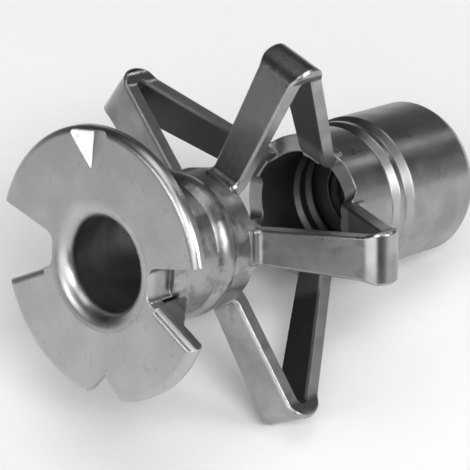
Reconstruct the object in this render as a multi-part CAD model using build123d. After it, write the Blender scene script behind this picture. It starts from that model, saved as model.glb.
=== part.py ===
from build123d import *
import math
import os

# Hollow wall anchor, set: a pressed steel sleeve with a nut held in its rear barrel.
# It is drawn with its axis along Z, the flange's front face at z = 0 and the wall side up,
# and then laid down as it rests on a table: on two leg folds and the barrel's rear edge.
# All lengths are in millimetres and all angles in degrees.

# Sheet and tube
sheet = 1.2
strap_edge = 0.15
collar_radius = 4.85
barrel_step = 0.4
seat_step = 0.35

# Flange, split into an upper and a lower lobe by two wedge notches
flange_radius = 9.2
lip_radius = 0.9
rim_front_round = 0.5
rim_back_bevel = 0.3
notch_front_round = 0.5
upper_lobe_shift = (-0.3, -0.25)
lower_lobe_shift = (0.15, 0.1)
notch_inset = 0.45
notch_root_half = 1.1
notch_root_round = 0.9
notch_rim_half = 3.0
notch_lean = 8.0
notch_depth = 2.2

# Claws that bite into the board
claw_gap = 0.15
claw_length = 2.3
claw_height = 2.0
claw_thickness = 0.8
claw_tip = 0.3
dimple_angle = -100.0
dimple_root = 6.6
dimple_half_width = 1.9
dimple_depth = 0.6
nick_angle = 84.0
nick_root = 7.15
nick_half_width = 1.9
nick_round = 0.5

# Stations along the axis
collar_end = 10.2
barrel_start = 20.9
stub_length = 0.7
sleeve_length = 33.8
bead_station = 7.4
bead_width = 1.8
bead_height = 0.3

# Legs: lean about the axis, peak radius and peak station of each
leg_count = 5
first_leg_angle = -5.6
legs = (
    (0.0, 13.8, 13.8),
    (-2.2, 14.3, 13.4),
    (2.2, 14.3, 13.4),
    (3.0, 14.0, 13.0),
    (5.5, 14.2, 13.1),
)
strap_root_width = 2.5
strap_width = 3.1
fold_width = 3.65
fold_reach = 1.5
fold_bend = 0.45
root_bend = 0.5
slot_round = 0.9
strap_blend = 1.0
strap_proud = 0.04

# Rear barrel
crimp_pitch = 1.3
crimp_count = 2
crimp_width = 0.8
crimp_depth = 0.3
tail_bevel = 0.9

# Nut, held between the crimps and the curled tail
nut_length = 6.06
nut_clearance = 0.02
thread_minor_radius = 2.1
nut_mouth_chamfer = 0.4
tail_mouth_radius = 3.6

# Sizes worked out from the ones above
barrel_radius = collar_radius + barrel_step
nut_seat_radius = barrel_radius + seat_step
collar_bore = collar_radius - sheet
barrel_bore = barrel_radius - sheet
seat_bore = nut_seat_radius - sheet
seat_end = sleeve_length - sheet
seat_start = seat_end - nut_length - 2 * nut_clearance
notch_root = collar_radius - notch_inset
claw_inner = collar_radius + claw_gap
leg_pitch = 360 / leg_count
reach = 2 * flange_radius


def closed_face(corners, plane=Plane.XZ):
    """A face from corners given as (x, y) or (x, y, radius)."""
    points = [(corner[0], corner[1]) for corner in corners]
    radii = [corner[2] if len(corner) > 2 else 0 for corner in corners]
    return make_face(plane * FilletPolyline(points, radius=radii, close=True))


def lobe(side, shift):
    """One half of the flange disc, with its rolled rim, its own centre and no bore yet."""
    disc = extrude(Pos(*shift) * Circle(flange_radius), sheet)
    disc = fillet(disc.edges().sort_by(Axis.Z)[0], rim_front_round)
    disc = chamfer(disc.edges().sort_by(Axis.Z)[-1], rim_back_bevel)
    half = Pos(0, side * reach / 2, sheet / 2) * Box(2 * reach, reach, 2 * sheet)
    return disc & half


def notch(side):
    """Cutter of one wedge notch, open at the rim; side is 1 or -1 along x."""
    growth = (notch_rim_half - notch_root_half) / (flange_radius - notch_root)
    spread = notch_root_half + growth * (reach - notch_root)
    middle = math.tan(math.radians(notch_lean)) * (reach - notch_root)
    corners = [
        (side * notch_root, -notch_root_half, notch_root_round),
        (side * reach, middle - spread),
        (side * reach, middle + spread),
        (side * notch_root, notch_root_half, notch_root_round),
    ]
    return extrude(closed_face(corners, Plane.XY), notch_depth)


def front_collar():
    """Bore lip and collar tube, turned about the axis, with the bead on it."""
    profile = closed_face([
        (collar_bore, 0, lip_radius),
        (notch_root + sheet, 0),
        (notch_root + sheet, sheet),
        (collar_radius, sheet),
        (collar_radius, collar_end + stub_length),
        (collar_bore, collar_end + stub_length),
    ])
    return revolve(profile, Axis.Z) + bead()


def bead():
    """Low round ring that stands out of the collar."""
    foot = collar_radius - sheet / 2
    start = bead_station - bead_width / 2
    stop = bead_station + bead_width / 2
    crest = ThreePointArc((collar_radius, start), (collar_radius + bead_height, bead_station), (collar_radius, stop))
    back = Polyline((collar_radius, stop), (foot, stop), (foot, start), (collar_radius, start))
    return revolve(make_face(Plane.XZ * (crest + back)), Axis.Z)


def rear_barrel():
    """Barrel with two crimp rings, the wider nut seat and the tail curled over the nut."""
    start = barrel_start - stub_length
    outer = [(barrel_radius, start)]
    inner = [(barrel_bore, start)]
    for crimp in range(crimp_count):
        station = seat_start - crimp_width / 2 - crimp_pitch * (crimp_count - 1 - crimp)
        before = outer[-1][0]
        after = nut_seat_radius if crimp == crimp_count - 1 else barrel_radius + crimp_depth / 2
        outer += [
            (before, station - crimp_width / 2),
            (before - crimp_depth, station),
            (after, station + crimp_width / 2),
        ]
        inner += [
            (barrel_bore, station - crimp_width / 2),
            (barrel_bore - crimp_depth, station),
            (barrel_bore, station + crimp_width / 2),
        ]
    inner.pop()
    outer += [*tail_corners(), (tail_mouth_radius, sleeve_length)]
    inner += [(barrel_bore, seat_start), (seat_bore, seat_start), (seat_bore, seat_end), (tail_mouth_radius, seat_end)]
    return revolve(closed_face(outer + inner[::-1]), Axis.Z)


def tail_corners():
    """Corners of the tail's bevelled outer edge, steep part first."""
    return [
        (nut_seat_radius, sleeve_length - tail_bevel),
        (nut_seat_radius - tail_bevel / 3, sleeve_length - tail_bevel / 3),
        (nut_seat_radius - tail_bevel, sleeve_length),
    ]


def slots(end, side):
    """Cutters that leave one stub for each leg at a tube's end; side is the way they open."""
    width = 2 * math.pi * collar_radius / leg_count - strap_root_width
    mouth = end + side * reach / 2
    shape = Plane.YZ * Pos(0, mouth) * RectangleRounded(width, reach, slot_round)
    cutter = extrude(shape, reach)
    turns = [leg_angle(number) + leg_pitch / 2 for number in range(leg_count)]
    return [Rot(0, 0, turn) * cutter for turn in turns]


def leg_angle(number):
    """Azimuth of a leg's root about the axis."""
    return first_leg_angle + leg_pitch * number


def leg_path(peak_radius, peak_station):
    """Centre line of one leg in its own plane: out of the collar, round the fold, into the barrel."""
    front = (collar_radius - sheet / 2 + strap_proud, collar_end + stub_length)
    rear = (barrel_radius - sheet / 2 + strap_proud, barrel_start - stub_length)
    fold_radius = fold_bend + sheet / 2
    root_radius = root_bend + sheet / 2
    rise = peak_radius - sheet / 2
    front_lean = math.atan2(peak_station - front[1], rise - front[0])
    rear_lean = math.atan2(rear[1] - peak_station, rise - rear[0])
    over = fold_radius / math.sin((front_lean + rear_lean) / 2) - fold_radius
    points = [
        (front[0], front[1] - root_radius),
        front,
        (rise + over, peak_station),
        rear,
        (rear[0], rear[1] + root_radius),
    ]
    return Plane.XZ * FilletPolyline(points, radius=(root_radius, fold_radius, root_radius))


def strap_outline(peak_radius):
    """Width of a strap against radius: necked at the roots, spread where it is folded."""
    steps = (
        (0, strap_root_width),
        (collar_radius, strap_root_width),
        (peak_radius - fold_reach, strap_width),
        (peak_radius - fold_reach / 2, fold_width),
        (reach, fold_width),
    )
    inner = [(radius, width / 2, strap_blend) for radius, width in steps[1:-1]]
    side = [(steps[0][0], steps[0][1] / 2), *inner, (steps[-1][0], steps[-1][1] / 2)]
    other = [(radius, -half, *rest) for radius, half, *rest in side[::-1]]
    return closed_face(side + other, Plane.XY)


def leg(number):
    """One strap, folded outward to a V between the collar and the barrel."""
    lean, peak_radius, peak_station = legs[number]
    path = leg_path(peak_radius, peak_station)
    start = Plane(origin=path @ 0, x_dir=(0, 1, 0), z_dir=path % 0)
    strap = sweep(start * Rectangle(fold_width, sheet), path)
    strap &= extrude(strap_outline(peak_radius), sleeve_length)
    long_edges = strap.edges().filter_by(lambda edge: collar_end < edge.center().Z < barrel_start)
    strap = chamfer(long_edges, strap_edge)
    return Rot(0, 0, leg_angle(number) + lean) * strap


def lower_side(side):
    """Start of a wedge notch's lower side, its direction to the rim, and the way across it."""
    growth = (notch_rim_half - notch_root_half) / (flange_radius - notch_root)
    turn = math.atan(growth + math.tan(math.radians(notch_lean)))
    along = (side * math.cos(turn), math.sin(turn), 0)
    across = (along[1], -along[0], 0)
    return (side * notch_root, notch_root_half, 0), along, across


def notch_front(side):
    """Cutter that rounds the front edge of a notch's lower side, where it bends back to its claw."""
    start, along, across = lower_side(side)
    inside = tuple(-side * value for value in across)
    plane = Plane(origin=start, x_dir=inside, z_dir=along)
    depth = notch_front_round if (plane.y_dir.Z > 0) else -notch_front_round
    middle = 1 - math.sqrt(0.5)
    arc = ThreePointArc(
        (0, depth),
        (notch_front_round * middle, depth * middle),
        (notch_front_round, 0),
    )
    corner = Polyline((notch_front_round, 0), (notch_front_round, -depth), (-sheet, -depth), (-sheet, depth), (0, depth))
    section = plane * Pos(0, 0, notch_root_round) * make_face(arc + corner)
    return extrude(section, reach, dir=along)


def notch_claw(side):
    """Triangular claw that stands back from the lower edge of a wedge notch."""
    start, along, across = lower_side(side)
    foot = sheet - strap_edge
    inner = claw_inner - notch_root
    outer = inner + claw_length
    corners = [(inner, foot), (outer, foot), (inner + claw_tip, sheet + claw_height), (inner, sheet + claw_height)]
    plane = Plane(origin=start, x_dir=along, z_dir=across)
    return extrude(plane * make_face(Polyline(corners, close=True)), -side * claw_thickness)


def dimple(half_width, depth, height):
    """Wedge that runs out to nothing at the dimple's root, its rim end a triangle below height."""
    run = reach / 2 - dimple_root
    grow = run / (flange_radius - dimple_root)
    rim = Plane(origin=(reach / 2, 0, height), x_dir=(0, 1, 0), z_dir=(1, 0, 0))
    corners = [(-half_width * grow, 0), (half_width * grow, 0), (0, depth * grow)]
    end = rim * make_face(Polyline(corners, close=True))
    return Rot(0, 0, dimple_angle) * loft([Vertex(dimple_root, 0, height), end])


def rim_nick():
    """Cutter of the small notch in the lower lobe's rim."""
    run = flange_radius - nick_root
    corners = [
        (nick_root, 0, nick_round),
        (nick_root + 2 * run, nick_half_width * 2),
        (nick_root + 2 * run, -nick_half_width * 2),
    ]
    return Rot(0, 0, nick_angle) * extrude(closed_face(corners, Plane.XY), sheet)


def sleeve():
    """The pressed sleeve: flange, collar, legs and barrel in one piece of steel."""
    flange = lobe(-1, upper_lobe_shift) + lobe(1, lower_lobe_shift)
    flange -= Cylinder(notch_root + sheet / 2, 4 * sheet)
    collar = front_collar()
    for cutter in slots(collar_end, 1):
        collar -= cutter
    barrel = rear_barrel()
    for cutter in slots(barrel_start, -1):
        barrel -= cutter
    body = flange + collar
    for side in (-1, 1):
        body -= notch(side)
        body -= notch_front(side)
        body += notch_claw(side)
    body -= rim_nick()
    ridge = dimple(dimple_half_width, dimple_depth, sheet)
    body += ridge & Pos(*upper_lobe_shift) * Cylinder(flange_radius - rim_back_bevel, 4 * sheet)
    body -= dimple(dimple_half_width, dimple_depth, 0)
    for number in range(leg_count):
        body += leg(number)
    return body + barrel


def nut():
    """Round nut that fills the seat, with a plain bore at the thread's inner radius."""
    body_radius = seat_bore - nut_clearance
    start = seat_start + nut_clearance
    end = seat_end - nut_clearance
    profile = closed_face([
        (thread_minor_radius + nut_mouth_chamfer, start),
        (body_radius, start),
        (body_radius, end),
        (thread_minor_radius + nut_mouth_chamfer, end),
        (thread_minor_radius, end - nut_mouth_chamfer),
        (thread_minor_radius, start + nut_mouth_chamfer),
    ])
    return revolve(profile, Axis.Z)


def rest_tilt():
    """Angle by which the rear end drops when the anchor lies on two folds and its tail."""
    lean, peak_radius, peak_station = legs[1]
    spread = math.radians(leg_pitch / 2 - lean)
    fold_radius = fold_bend + sheet
    centre = peak_radius - fold_radius
    low, high = 0.0, math.pi / 4
    for _ in range(40):
        tilt = (low + high) / 2
        lift = math.cos(tilt) * math.cos(spread)
        fold = peak_station * math.sin(tilt) + centre * lift
        fold += fold_radius * math.hypot(math.sin(tilt), lift)
        fold += (fold_width / 2 - strap_edge) * math.cos(tilt) * math.sin(spread)
        tail = max(x * math.cos(tilt) + z * math.sin(tilt) for x, z in tail_corners())
        if fold > tail:
            low = tilt
        else:
            high = tilt
    return math.degrees(low)


def lay_down(shape):
    """Turn a shape from the drawing frame to the rest pose: axis along +X, tail down."""
    down = first_leg_angle + leg_pitch * 1.5
    turned = Rot(0, 0, -down) * shape
    return Rot(0, 90 + rest_tilt(), 0) * turned


parts = {name: lay_down(shape) for name, shape in (("sleeve", sleeve()), ("nut", nut()))}
box = parts["sleeve"].bounding_box()
to_origin = Pos(-box.center().X, -box.center().Y, -box.min.Z)
os.makedirs("parts", exist_ok=True)
for name, shape in parts.items():
    placed = to_origin * shape
    placed.label = name
    export_step(placed, f"parts/{name}.step")
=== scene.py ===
"""Hollow wall anchor in its set state.

Dresses the pressed sleeve, makes its rolled lip and the threaded nut, and builds the studio round them.
"""

import logging
import math
from dataclasses import dataclass
from enum import Enum

import bmesh
import bpy
from mathutils import Euler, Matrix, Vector


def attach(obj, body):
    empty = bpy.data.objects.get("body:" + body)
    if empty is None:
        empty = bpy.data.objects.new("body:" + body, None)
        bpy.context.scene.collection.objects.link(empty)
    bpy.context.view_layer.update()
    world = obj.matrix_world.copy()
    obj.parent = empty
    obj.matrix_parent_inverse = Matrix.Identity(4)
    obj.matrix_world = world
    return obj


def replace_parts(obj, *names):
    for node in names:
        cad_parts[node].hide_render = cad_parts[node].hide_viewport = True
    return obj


LOG = logging.getLogger("anchor")
MM = 0.001
# Share of the distance along the axis that is taken out, so that drawn grain runs that way.
DRAWN_OUT = 0.9

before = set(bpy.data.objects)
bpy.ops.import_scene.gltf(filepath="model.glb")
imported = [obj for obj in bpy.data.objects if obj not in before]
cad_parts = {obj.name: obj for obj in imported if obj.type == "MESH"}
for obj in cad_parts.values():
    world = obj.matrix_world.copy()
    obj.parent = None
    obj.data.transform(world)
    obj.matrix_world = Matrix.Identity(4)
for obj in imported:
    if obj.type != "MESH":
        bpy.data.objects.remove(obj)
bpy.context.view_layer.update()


class Grain(Enum):
    """Shapes of the fine pattern in a plated surface."""

    CLOUD = "ShaderNodeTexNoise"
    CELL = "ShaderNodeTexVoronoi"


@dataclass(frozen=True)
class AnchorAxis:
    """Where the anchor's own axis lies in the frame, from the flange's front face towards the tail."""

    origin: Vector = Vector((-15.2759, -0.0226, 16.1146)) * MM
    along: Vector = Vector((0.944305, 0.0, -0.329071))
    up: Vector = Vector((0.329071, 0.0, 0.944305))

    def side(self) -> Vector:
        """Third direction of the anchor's own right-handed frame."""
        return self.along.cross(self.up)

    def point(self, station: float, radius: float, angle: float) -> Vector:
        """Gives a point by station, radius and angle about the axis.

        Args:
            station: distance back from the flange's front face, in metres.
            radius: distance from the axis, in metres.
            angle: angle about the axis, in radians, from straight up.

        Returns:
            The point in the frame, in metres.
        """
        out = self.up * math.cos(angle) + self.side() * math.sin(angle)
        return self.origin + self.along * station + out * radius


AXIS = AnchorAxis()


class Socket:
    """An output socket whose arithmetic adds Math nodes to its tree."""

    def __init__(self, paint: "Paint", link: bpy.types.NodeSocket) -> None:
        """Keeps the socket and the paint that it belongs to."""
        self.paint = paint
        self.link = link

    def _math(self, operation: str, *values: "Socket | float") -> "Socket":
        """Adds one Math node.

        Args:
            operation: the node's operation.
            values: its inputs in order.

        Returns:
            The result.
        """
        inputs = dict(enumerate(values))
        return self.paint.node("ShaderNodeMath", {"operation": operation}, inputs)

    def __add__(self, other: "Socket | float") -> "Socket":
        """Sum."""
        return self._math("ADD", self, other)

    def __radd__(self, other: float) -> "Socket":
        """Sum with a number first."""
        return self._math("ADD", other, self)

    def __sub__(self, other: "Socket | float") -> "Socket":
        """Difference."""
        return self._math("SUBTRACT", self, other)

    def __rsub__(self, other: float) -> "Socket":
        """Difference with a number first."""
        return self._math("SUBTRACT", other, self)

    def __mul__(self, other: "Socket | float") -> "Socket":
        """Product."""
        return self._math("MULTIPLY", self, other)

    def __rmul__(self, other: float) -> "Socket":
        """Product with a number first."""
        return self._math("MULTIPLY", other, self)

    def rise(self, start: float, end: float) -> "Socket":
        """Goes smoothly from 0 at start to 1 at end.

        Args:
            start: value that gives 0.
            end: value that gives 1; it may be the smaller one.

        Returns:
            The smooth step.
        """
        settings = {"interpolation_type": "SMOOTHSTEP"}
        if start < end:
            return self.paint.node("ShaderNodeMapRange", settings, {0: self, 1: start, 2: end})
        return 1 - self.paint.node("ShaderNodeMapRange", settings, {0: self, 1: end, 2: start})


class Paint:
    """One material and the nodes that make it."""

    def __init__(self, name: str) -> None:
        """Starts a material with its principled shader.

        Args:
            name: the material's name.
        """
        self.material = bpy.data.materials.new(name)
        self.material.use_nodes = True
        self.tree = self.material.node_tree
        self.shader = self.tree.nodes["Principled BSDF"]

    def node(
        self,
        kind: str,
        settings: dict[str, object] | None = None,
        inputs: dict[int | str, object] | None = None,
        output: int | str = 0,
    ) -> Socket:
        """Adds any node.

        Args:
            kind: the node's type.
            settings: its properties, set before its sockets.
            inputs: values or links of its sockets, by name or number.
            output: the output that is wanted.

        Returns:
            That output.
        """
        made = self.tree.nodes.new(kind)
        for key, value in (settings or {}).items():
            setattr(made, key, value)
        for key, value in (inputs or {}).items():
            self.feed(made.inputs[key], value)
        return Socket(self, made.outputs[output])

    def feed(self, socket: bpy.types.NodeSocket, value: object) -> None:
        """Links or sets one input socket."""
        if isinstance(value, Socket):
            self.tree.links.new(value.link, socket)
        else:
            socket.default_value = value

    def surface(self, **inputs: object) -> None:
        """Sets the shader's own sockets, by name with spaces as underscores."""
        for key, value in inputs.items():
            self.feed(self.shader.inputs[key.replace("_", " ")], value)

    def vector(self, operation: str, first: object, second: object = None, output: int = 0) -> Socket:
        """Adds one Vector Math node.

        Args:
            operation: the node's operation.
            first: its first vector.
            second: its second vector, if it takes one.
            output: 0 for the vector and 1 for the value.

        Returns:
            The result.
        """
        inputs = {0: first}
        if second is not None:
            inputs[1] = second
        return self.node("ShaderNodeVectorMath", {"operation": operation}, inputs, output)

    def scaled(self, vector: Socket, factor: Socket) -> Socket:
        """A vector times a number."""
        return self.node("ShaderNodeVectorMath", {"operation": "SCALE"}, {0: vector, 3: factor})

    def colour(self, factor: Socket, low: object, high: object) -> Socket:
        """Mixes two colours.

        Args:
            factor: share of the second one.
            low: first colour.
            high: second colour.

        Returns:
            The mixed colour.
        """
        settings = {"data_type": "RGBA", "blend_type": "MIX"}
        return self.node("ShaderNodeMix", settings, {0: factor, 6: low, 7: high}, 2)

    def grain(
        self,
        where: Socket,
        scale: float,
        detail: float = 2.0,
        kind: Grain = Grain.CLOUD,
    ) -> Socket:
        """Adds a pattern with a scale in cells a metre.

        Args:
            where: coordinates in metres.
            scale: cells a metre.
            detail: octaves of a cloud pattern.
            kind: the pattern's shape.

        Returns:
            The pattern, 0 to 1 for clouds and the distance for cells.
        """
        inputs = {"Vector": where, "Scale": scale}
        if kind is Grain.CLOUD:
            inputs["Detail"] = detail
        return self.node(kind.value, {}, inputs)


def grey(level: float, warmth: float = 0.0) -> tuple[float, float, float, float]:
    """A grey, with a little warmth if above 0.

    Args:
        level: brightness.
        warmth: how much red is added and blue taken away.

    Returns:
        The colour.
    """
    return (level * (1 + warmth), level, level * (1 - warmth), 1.0)


@dataclass(frozen=True)
class AnchorPlaces:
    """Positions on the anchor that its finishes follow, as sockets of one material."""

    spot: Socket
    station: Socket
    radius: Socket
    inward: Socket
    stretched: Socket

    @classmethod
    def of(cls, paint: Paint) -> "AnchorPlaces":
        """Works the positions out once for a material.

        Args:
            paint: the material.

        Returns:
            The positions.
        """
        spot = paint.node("ShaderNodeTexCoord", {}, {}, "Object")
        offset = paint.vector("SUBTRACT", spot, AXIS.origin)
        station = paint.vector("DOT_PRODUCT", offset, AXIS.along, 1)
        along = paint.vector("NORMALIZE", AXIS.along)
        on_axis = paint.scaled(along, station)
        out = paint.vector("SUBTRACT", offset, on_axis)
        radius = paint.vector("LENGTH", out, None, 1)
        normal = paint.node("ShaderNodeNewGeometry", {}, {}, "Normal")
        facing = paint.vector("DOT_PRODUCT", normal, paint.vector("NORMALIZE", out), 1)
        short = paint.scaled(along, station * -DRAWN_OUT)
        stretched = paint.vector("ADD", offset, short)
        return cls(spot, station, radius, -1 * facing, stretched)


@dataclass(frozen=True)
class Zone:
    """Where something sets in: it is 0 at start and 1 at end, and end may be the smaller one."""

    start: float
    end: float

    def of(self, value: Socket) -> Socket:
        """The smooth step of a value over the zone."""
        return value.rise(self.start, self.end)


@dataclass(frozen=True)
class Layer:
    """A tone laid over a finish: how much of it, and its level as a share of another tone."""

    share: float
    level: float
    warmth: float = 0.0

    def over(self, skin: Socket, mask: Socket, tone: float) -> Socket:
        """Lays the tone over a colour.

        Args:
            skin: the colour under it.
            mask: where the layer lies.
            tone: the tone that its level is a share of.

        Returns:
            The new colour.
        """
        return mask.paint.colour(mask * self.share, skin, grey(tone * self.level, self.warmth))


@dataclass(frozen=True)
class AnchorZones:
    """Zones of the anchor, by station back from the flange, by radius or by facing."""

    flange_front: Zone = Zone(1.0 * MM, 0.4 * MM)
    collar_start: Zone = Zone(0.8 * MM, 2.2 * MM)
    collar_end: Zone = Zone(11.4 * MM, 10.2 * MM)
    behind_mouth: Zone = Zone(0.9 * MM, 2.0 * MM)
    barrel: Zone = Zone(20 * MM, 24 * MM)
    off_tube: Zone = Zone(5.6 * MM, 6.4 * MM)
    folds: Zone = Zone(11.6 * MM, 13.6 * MM)
    facing_in: Zone = Zone(0.08, 0.3)
    off_flat: Zone = Zone(0.995, 0.9)
    shut_in: Zone = Zone(0.75, 0.2)


@dataclass(frozen=True)
class PlateLayers:
    """Tones laid over the plain plate, in the order they are laid; several of them are painted light
    and shade.
    """

    # Painted light: the flange's front face is painted brighter than the rest of the plate.
    front: Layer = Layer(0.55, 1.45)
    specks: Layer = Layer(0.25, 0.75)
    # Painted reflection: dark blotches on the collar's dents.
    dents: Layer = Layer(0.5, 0.5)
    # Partly edge wear, partly a painted highlight along the edges.
    worn_and_highlit_edges: Layer = Layer(0.6, 1.3)
    pits: Layer = Layer(0.4, 0.35, 0.03)
    burnish: Layer = Layer(0.6, 1.16)
    # Painted shade on faces that look inwards, behind the mouth.
    inside: Layer = Layer(0.86, 1.0, 0.02)
    # Painted shade on the inner faces of the straps.
    painted_shade_under_straps: Layer = Layer(0.8, 0.3, 0.02)
    # Painted shade in hollows, by ambient occlusion.
    painted_hollow_shade: Layer = Layer(0.6, 0.6, 0.03)
    # Painted shade inside the barrel.
    painted_barrel_shade: Layer = Layer(0.6, 0.2, 0.03)


@dataclass(frozen=True)
class ZincPlate:
    """Zinc plate on pressed steel: cloudy, drawn along the axis, burnished where it was bent.

    The tones bright, dull and inside are levels of grey, inside being the grey of the painted shade,
    and smooth and rough are roughness. The scales of cloud, speck, drawing and dent are in cells a
    metre. The lengths edge_round, shelter and relief are in metres. Part of the colour is painted
    light: a brighter front face, highlights along the edges, dark reflections on the collar's dents,
    and shade on inward faces, under the straps, in hollows and inside the barrel.
    """

    name: str
    bright: float = 0.4
    dull: float = 0.28
    # Grey of the shade painted on inward faces, under the straps, in hollows and in the barrel.
    inside: float = 0.19
    smooth: float = 0.22
    rough: float = 0.3
    cloud: float = 420.0
    speck: float = 2000.0
    drawing: float = 1700.0
    dent: float = 950.0
    cloudy: Zone = Zone(0.3, 0.72)
    specked: Zone = Zone(0.6, 0.8)
    dented: Zone = Zone(0.5, 0.64)
    pit: Zone = Zone(0.13, 0.04)
    pitted: Zone = Zone(0.6, 0.74)
    edge_round: float = 0.16 * MM
    shelter: float = 5 * MM
    relief: float = 0.045 * MM
    fine_rough: float = 0.06
    burnish_smooth: float = 0.07
    inside_rough: float = 0.16
    fine_relief: float = 0.05
    dent_relief: float = 0.1
    collar_relief: float = 0.9
    zones: AnchorZones = AnchorZones()
    layers: PlateLayers = PlateLayers()

    def make(self) -> bpy.types.Material:
        """Builds the material.

        Returns:
            The finished material.
        """
        paint = Paint(self.name)
        place = AnchorPlaces.of(paint)
        zones, layers = self.zones, self.layers

        clouds = self.cloudy.of(paint.grain(place.spot, self.cloud, 2.0))
        specks = paint.grain(place.spot, self.speck, 1.0)
        drawn = paint.grain(place.stretched, self.drawing, 1.0)
        dents = paint.grain(place.spot, self.dent, 2.0)
        pits = self.pit.of(paint.grain(place.spot, self.speck * 0.6, kind=Grain.CELL))
        pits = pits * self.pitted.of(paint.grain(place.spot, self.cloud * 1.7, 1.0))

        collar = zones.collar_start.of(place.station) * zones.collar_end.of(place.station)
        burnish = zones.folds.of(place.radius)
        front = zones.flange_front.of(place.station)
        facing_in = zones.facing_in.of(place.inward)
        inner = facing_in * zones.behind_mouth.of(place.station)
        barrel_shade = facing_in * zones.barrel.of(place.station)
        under_strap_shade = inner * zones.off_tube.of(place.radius)
        rounded = paint.node("ShaderNodeBevel", {"samples": 4}, {"Radius": self.edge_round})
        flat = paint.node("ShaderNodeNewGeometry", {}, {}, "True Normal")
        # Edges, where the rounded normal leaves the flat one: partly wear, partly a painted highlight.
        edge_wear_and_highlight = zones.off_flat.of(paint.vector("DOT_PRODUCT", rounded, flat, 1)) * (1 - inner)
        # Ambient occlusion, for the shade painted in hollows.
        open_air = {"Distance": self.shelter}
        shade = paint.node("ShaderNodeAmbientOcclusion", {"samples": 8}, open_air, 1)
        hollow_shade = zones.shut_in.of(shade)

        plain = clouds * 0.7 + drawn * 0.3
        skin = paint.colour(plain, grey(self.dull, 0.004), grey(self.bright, -0.006))
        # Painted light: the flange's front face is painted brighter.
        skin = layers.front.over(skin, front, self.bright)
        skin = layers.specks.over(skin, self.specked.of(specks), self.dull)
        # Painted reflection: the collar is painted darker where its dents rise.
        skin = layers.dents.over(skin, collar * self.dented.of(dents), self.dull)
        # Edges painted brighter: partly wear, partly a painted highlight.
        skin = layers.worn_and_highlit_edges.over(skin, edge_wear_and_highlight, self.bright)
        skin = layers.pits.over(skin, pits, self.dull)
        skin = layers.burnish.over(skin, burnish * clouds, self.bright)
        # Painted shade: inward faces behind the mouth are painted darker.
        skin = layers.inside.over(skin, inner, self.inside)
        # Painted shade: the straps' inner faces are painted darker still.
        skin = layers.painted_shade_under_straps.over(skin, under_strap_shade, self.inside)
        # Painted shade: hollows are painted darker by ambient occlusion.
        skin = layers.painted_hollow_shade.over(skin, hollow_shade, self.inside)
        # Painted shade: inward faces in the barrel are painted darker.
        skin = layers.painted_barrel_shade.over(skin, barrel_shade, self.inside)

        gloss = self.smooth + (self.rough - self.smooth) * (1 - clouds)
        gloss = gloss + drawn * self.fine_rough + specks * self.fine_rough
        gloss = gloss - burnish * self.burnish_smooth + inner * self.inside_rough
        fine = specks * 0.5 + drawn * 0.5
        height = fine * self.fine_relief + dents * (self.dent_relief + collar * self.collar_relief)
        bump = paint.node(
            "ShaderNodeBump",
            {},
            {"Strength": 1.0, "Distance": self.relief, "Height": height, "Normal": rounded},
        )
        paint.surface(Base_Color=skin, Metallic=1.0, Roughness=gloss, Normal=bump)
        return paint.material


def circle(points: int) -> list[float]:
    """Angles of evenly spaced points round a circle, in radians."""
    return [math.tau * step / points for step in range(points)]


def join_rings(
    shape: bmesh.types.BMesh,
    rings: list[list[bmesh.types.BMVert]],
    turned: bool = False,
) -> None:
    """Makes the faces between each ring of points and the next.

    Args:
        shape: the mesh in the making.
        rings: rings with the same number of points.
        turned: True for faces that look the other way.
    """
    for one, two in zip(rings, rings[1:]):
        for step in range(len(one)):
            after = (step + 1) % len(one)
            corners = (one[step], two[step], two[after], one[after])
            if turned:
                corners = (one[step], one[after], two[after], two[step])
            shape.faces.new(corners)


def make_object(
    name: str,
    shape: bmesh.types.BMesh,
    material: bpy.types.Material,
) -> bpy.types.Object:
    """Turns a finished shape into a smooth object of the scene.

    Args:
        name: the object's name.
        shape: its shape, which is used up.
        material: its finish.

    Returns:
        The object.
    """
    mesh = bpy.data.meshes.new(name)
    shape.to_mesh(mesh)
    shape.free()
    mesh.shade_smooth()
    mesh.materials.append(material)
    made = bpy.data.objects.new(name, mesh)
    bpy.context.scene.collection.objects.link(made)
    return made


@dataclass
class Sleeve:
    """The pressed sleeve, whose shape comes from the frame as it is."""

    node: str = "sleeve"
    finish: ZincPlate = ZincPlate("zinc_plated_sleeve")

    def build(self) -> bpy.types.Object:
        """Gives the sleeve its finish.

        Returns:
            The sleeve's object.
        """
        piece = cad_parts[self.node]
        piece.data.materials.clear()
        piece.data.materials.append(self.finish.make())
        return piece


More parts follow.
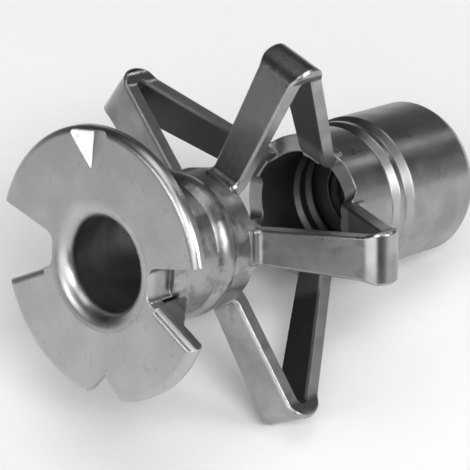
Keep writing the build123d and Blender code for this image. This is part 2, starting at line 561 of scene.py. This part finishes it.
@dataclass
class ThreadedNut:
    """Round nut in the barrel, with the thread that the frame's plain bore stands in for."""

    start: float = 26.52 * MM
    end: float = 32.58 * MM
    body_radius: float = 4.38 * MM
    minor_radius: float = 2.1 * MM
    major_radius: float = 2.5 * MM
    countersink: float = 0.05 * MM
    pitch: float = 0.8 * MM
    crest: float = 0.12
    flank: float = 0.7
    turns: int = 96
    rows_a_pitch: int = 14
    sharp_from: float = 40.0
    finish: ZincPlate = ZincPlate("dull_nut", 0.26, 0.18, 0.09, 0.32, 0.46)

    def bore_radius(self, station: float, angle: float) -> float:
        """Radius of the threaded wall.

        Args:
            station: distance back from the flange's front face, in metres.
            angle: angle about the axis, in radians.

        Returns:
            The radius, in metres.
        """
        turn = ((station - self.start) / self.pitch - angle / math.tau) % 1.0
        ridge = 1 - abs(2 * turn - 1)
        depth = min(max((ridge - self.crest) / self.flank, 0.0), 1.0)
        thread = self.minor_radius + (self.major_radius - self.minor_radius) * depth
        to_end = min(station - self.start, self.end - station)
        return max(thread, self.major_radius + self.countersink - to_end)

    def ring(
        self,
        shape: bmesh.types.BMesh,
        station: float,
        radius: float | None = None,
    ) -> list[bmesh.types.BMVert]:
        """Adds one ring of points.

        Args:
            shape: the mesh in the making.
            station: where the ring lies.
            radius: its radius, or None for the threaded wall.

        Returns:
            The points in order.
        """
        angles = circle(self.turns)
        wall = [self.bore_radius(station, a) if radius is None else radius for a in angles]
        return [shape.verts.new(AXIS.point(station, size, a)) for size, a in zip(wall, angles)]

    def build(self) -> bpy.types.Object:
        """Makes the nut's mesh and puts it in place of the plain one.

        Returns:
            The nut's object.
        """
        shape = bmesh.new()
        length = self.end - self.start
        rows = round(length / self.pitch * self.rows_a_pitch)
        rings = [self.ring(shape, self.start + length * row / rows) for row in range(rows + 1)]
        outer = [self.ring(shape, station, self.body_radius) for station in (self.end, self.start)]
        join_rings(shape, rings + outer + rings[:1], turned=True)
        bmesh.ops.recalc_face_normals(shape, faces=shape.faces)
        piece = make_object("threaded_nut", shape, self.finish.make())
        piece.data.set_sharp_from_angle(angle=math.radians(self.sharp_from))
        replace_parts(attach(piece, "root"), "nut")
        return piece


@dataclass
class RolledLip:
    """Inward roll of the bore's mouth, on the flange's own rounded edge."""

    outer_radius: float = 4.42 * MM
    throat_radius: float = 3.18 * MM
    tube_radius: float = 3.655 * MM
    throat_start: float = 1.15 * MM
    throat_end: float = 2.4 * MM
    foot: float = 4.6 * MM
    turns: int = 128
    steps: int = 16
    finish: ZincPlate = ZincPlate("zinc_plated_lip")

    def profile(self) -> list[tuple[float, float]]:
        """Gives the lip's section.

        Returns:
            Station and radius of each point, from the flange's front into the bore.
        """
        span = self.outer_radius - self.throat_radius
        points = []
        for step in range(self.steps + 1):
            turn = math.pi / 2 * step / self.steps
            station = self.throat_start * (1 - math.cos(turn))
            points.append((station, self.outer_radius - span * math.sin(turn)))
        back = self.tube_radius - self.throat_radius
        for step in range(1, self.steps + 1):
            share = step / self.steps
            station = self.throat_end + (self.foot - self.throat_end) * share
            points.append((station, self.throat_radius + back * share**2 * (3 - 2 * share)))
        return points

    def build(self) -> bpy.types.Object:
        """Makes the lip's ring.

        Returns:
            The lip's object.
        """
        shape = bmesh.new()
        rings = []
        for station, radius in self.profile():
            places = [AXIS.point(station, radius, a) for a in circle(self.turns)]
            rings.append([shape.verts.new(place) for place in places])
        join_rings(shape, rings)
        piece = make_object("rolled_lip", shape, self.finish.make())
        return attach(piece, "root")


@dataclass(frozen=True)
class SoftLamp:
    """One square soft lamp that looks at the anchor."""

    name: str
    towards: tuple[float, float, float]
    size: float
    power: float
    distance: float = 0.85
    target: Vector = Vector((0, 0, 0.012))

    def build(self) -> bpy.types.Object:
        """Makes the lamp.

        Returns:
            The lamp's object.
        """
        data = bpy.data.lights.new(self.name, "AREA")
        data.shape = "SQUARE"
        data.size = self.size
        data.energy = self.power
        lamp = bpy.data.objects.new(self.name, data)
        bpy.context.scene.collection.objects.link(lamp)
        lamp.location = Vector(self.towards).normalized() * self.distance
        look = self.target - lamp.location
        lamp.rotation_euler = look.to_track_quat("-Z", "Y").to_euler()
        return lamp


@dataclass
class Studio:
    """Pale floor that rises into a round backdrop, soft lamps and the camera."""

    flat_radius: float = 1.1
    flat_steps: int = 4
    rise: float = 0.3
    height: float = 0.45
    steps: int = 24
    around: int = 96
    floor_level: float = 0.92
    # Grey painted on the floor away from the anchor, as a painted falloff of light.
    painted_far_grey: float = 0.33
    near: float = 0.09
    far: float = 0.3
    fibres: float = 900.0
    world_level: float = 0.03
    camera_place: Vector = Vector((-117.675, -116.538, 152.901)) * MM
    camera_turn: tuple[float, float, float] = (49.0885, 0.6951, -45.2682)
    lens: float = 238.242
    sensor: float = 36.0
    clip: tuple[float, float] = (0.01, 20.0)
    lamps: tuple[SoftLamp, ...] = (
        SoftLamp("key_lamp", (-0.3, -0.58, 0.74), 0.32, 2.9),
        SoftLamp("low_left_lamp", (-0.8, -0.5, 0.42), 0.8, 3.2),
        SoftLamp("left_lamp", (-0.86, 0.17, 0.46), 0.26, 1.4),
        SoftLamp("top_lamp", (0.0, 0.0, 1.0), 0.5, 1.5),
        SoftLamp("right_lamp", (0.5, 0.05, 0.75), 0.4, 0.8),
        SoftLamp("front_lamp", (0.4, -0.82, 0.38), 0.34, 3.8),
        SoftLamp("barrel_lamp", (0.884, -0.104, 0.456), 0.08, 0.14),
    )

    def floor_profile(self) -> list[tuple[float, float]]:
        """Gives the section of the floor and the backdrop.

        Returns:
            Radius and height of each ring, from the middle outwards.
        """
        flat = [self.flat_radius * step / self.flat_steps for step in range(1, self.flat_steps + 1)]
        points = [(radius, 0.0) for radius in flat]
        for step in range(1, self.steps + 1):
            turn = math.pi / 2 * step / self.steps
            radius = self.flat_radius + self.rise * math.sin(turn)
            points.append((radius, self.rise * (1 - math.cos(turn))))
        return points + [(self.flat_radius + self.rise, self.height)]

    def make_paper(self) -> bpy.types.Material:
        """Builds the floor's matt finish, with a painted pool of light: pale near the anchor and darker
        away from it.

        Returns:
            The finished material.
        """
        paint = Paint("matt_paper")
        place = paint.node("ShaderNodeTexCoord", {}, {}, "Object")
        # Painted pool of light: the floor is painted pale near the anchor and darker away from it.
        painted_falloff = paint.vector("LENGTH", place, None, 1).rise(self.near, self.far)
        fibre = paint.grain(place, self.fibres, 3.0)
        tone = paint.colour(fibre, grey(self.floor_level * 0.99), grey(self.floor_level))
        tone = paint.colour(painted_falloff, tone, grey(self.painted_far_grey))
        paint.surface(Base_Color=tone, Roughness=0.9, Specular_IOR_Level=0.1)
        return paint.material

    def build_floor(self) -> None:
        """Makes the floor and the backdrop round it."""
        shape = bmesh.new()
        rings = []
        for radius, height in self.floor_profile():
            places = [(radius * math.cos(a), radius * math.sin(a), height) for a in circle(self.around)]
            rings.append([shape.verts.new(place) for place in places])
        shape.faces.new(rings[0])
        join_rings(shape, rings)
        make_object("studio_floor", shape, self.make_paper())

    def build_world(self) -> None:
        """Makes the faint even light of the room."""
        world = bpy.data.worlds.new("soft_room")
        bpy.context.scene.world = world
        world.use_nodes = True
        ground = world.node_tree.nodes["Background"]
        ground.inputs["Color"].default_value = grey(self.world_level)
        ground.inputs["Strength"].default_value = 1.0

    def build_camera(self) -> None:
        """Makes the camera at the photograph's view."""
        data = bpy.data.cameras.new("photo_view")
        data.lens = self.lens
        data.sensor_width = self.sensor
        data.clip_start, data.clip_end = self.clip
        camera = bpy.data.objects.new("photo_view", data)
        bpy.context.scene.collection.objects.link(camera)
        camera.location = self.camera_place
        turn = [math.radians(angle) for angle in self.camera_turn]
        camera.rotation_euler = Euler(turn, "XYZ")
        bpy.context.scene.camera = camera

    def build(self) -> None:
        """Builds the whole studio."""
        self.build_floor()
        self.build_world()
        for lamp in self.lamps:
            lamp.build()
        self.build_camera()
        bpy.context.scene.view_settings.view_transform = "Standard"


def main() -> None:
    """Builds the classes in order and reports each piece."""
    logging.basicConfig(level=logging.INFO, format="%(name)s: %(message)s")
    for part in (Sleeve(), RolledLip(), ThreadedNut()):
        piece = part.build()
        LOG.info("%s: %d faces", piece.name, len(piece.data.polygons))
    Studio().build()


if __name__ == "__main__":
    main()
